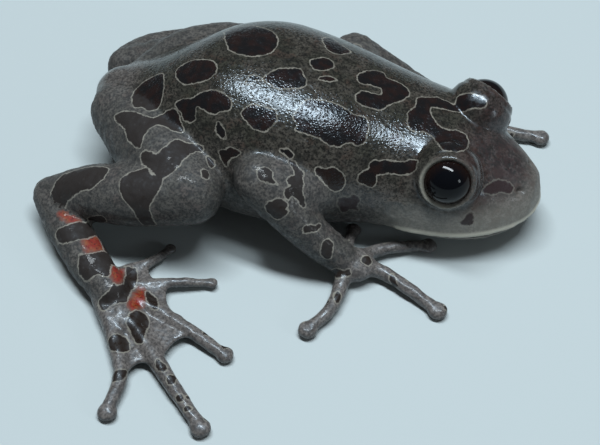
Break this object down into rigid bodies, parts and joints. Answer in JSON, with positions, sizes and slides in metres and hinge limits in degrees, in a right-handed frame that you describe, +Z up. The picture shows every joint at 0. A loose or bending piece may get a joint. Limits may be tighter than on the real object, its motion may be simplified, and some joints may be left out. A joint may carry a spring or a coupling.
{
  "type": "red-legged running frog",
  "caption": "Life-size red-legged running frog, blotched and glossy, crouched low with one hind foot stretched out and fingers spread.",
  "frame": {"origin": "on the flat of the belly, midway between snout and vent, on the plane that the frog rests on", "axes": "+X towards the snout, +Y towards the frog's left, +Z up; the belly's flat faces -Z, and the spread feet make Y the longest extent"},
  "size_m": [0.0692, 0.0752, 0.022],
  "materials": {
    "skin": "moist granular skin, grey-brown with pale-edged dark blotches and red-orange marks on the legs",
    "eye": "very dark and wet"
  },
  "bodies": {
    "root": {"head": "skin", "torso": "skin", "right_thigh": "skin", "right_shank": "skin", "right_tarsus": "skin", "right_foot": "skin", "right_toe_1": "skin", "right_toe_2": "skin", "right_toe_3": "skin", "right_toe_4": "skin", "right_toe_5": "skin", "right_upper_arm": "skin", "right_forearm": "skin", "right_hand": "skin", "right_finger_1": "skin", "right_finger_2": "skin", "right_finger_3": "skin", "right_finger_4": "skin", "left_thigh": "skin", "left_shank": "skin", "left_tarsus": "skin", "left_foot": "skin", "left_toe_1": "skin", "left_toe_2": "skin", "left_toe_3": "skin", "left_toe_4": "skin", "left_toe_5": "skin", "left_upper_arm": "skin", "left_forearm": "skin", "left_hand": "skin", "left_finger_1": "skin", "left_finger_2": "skin", "left_finger_3": "skin", "left_finger_4": "skin", "right_eye": "eye", "left_eye": "eye"}
  },
  "joints": []
}
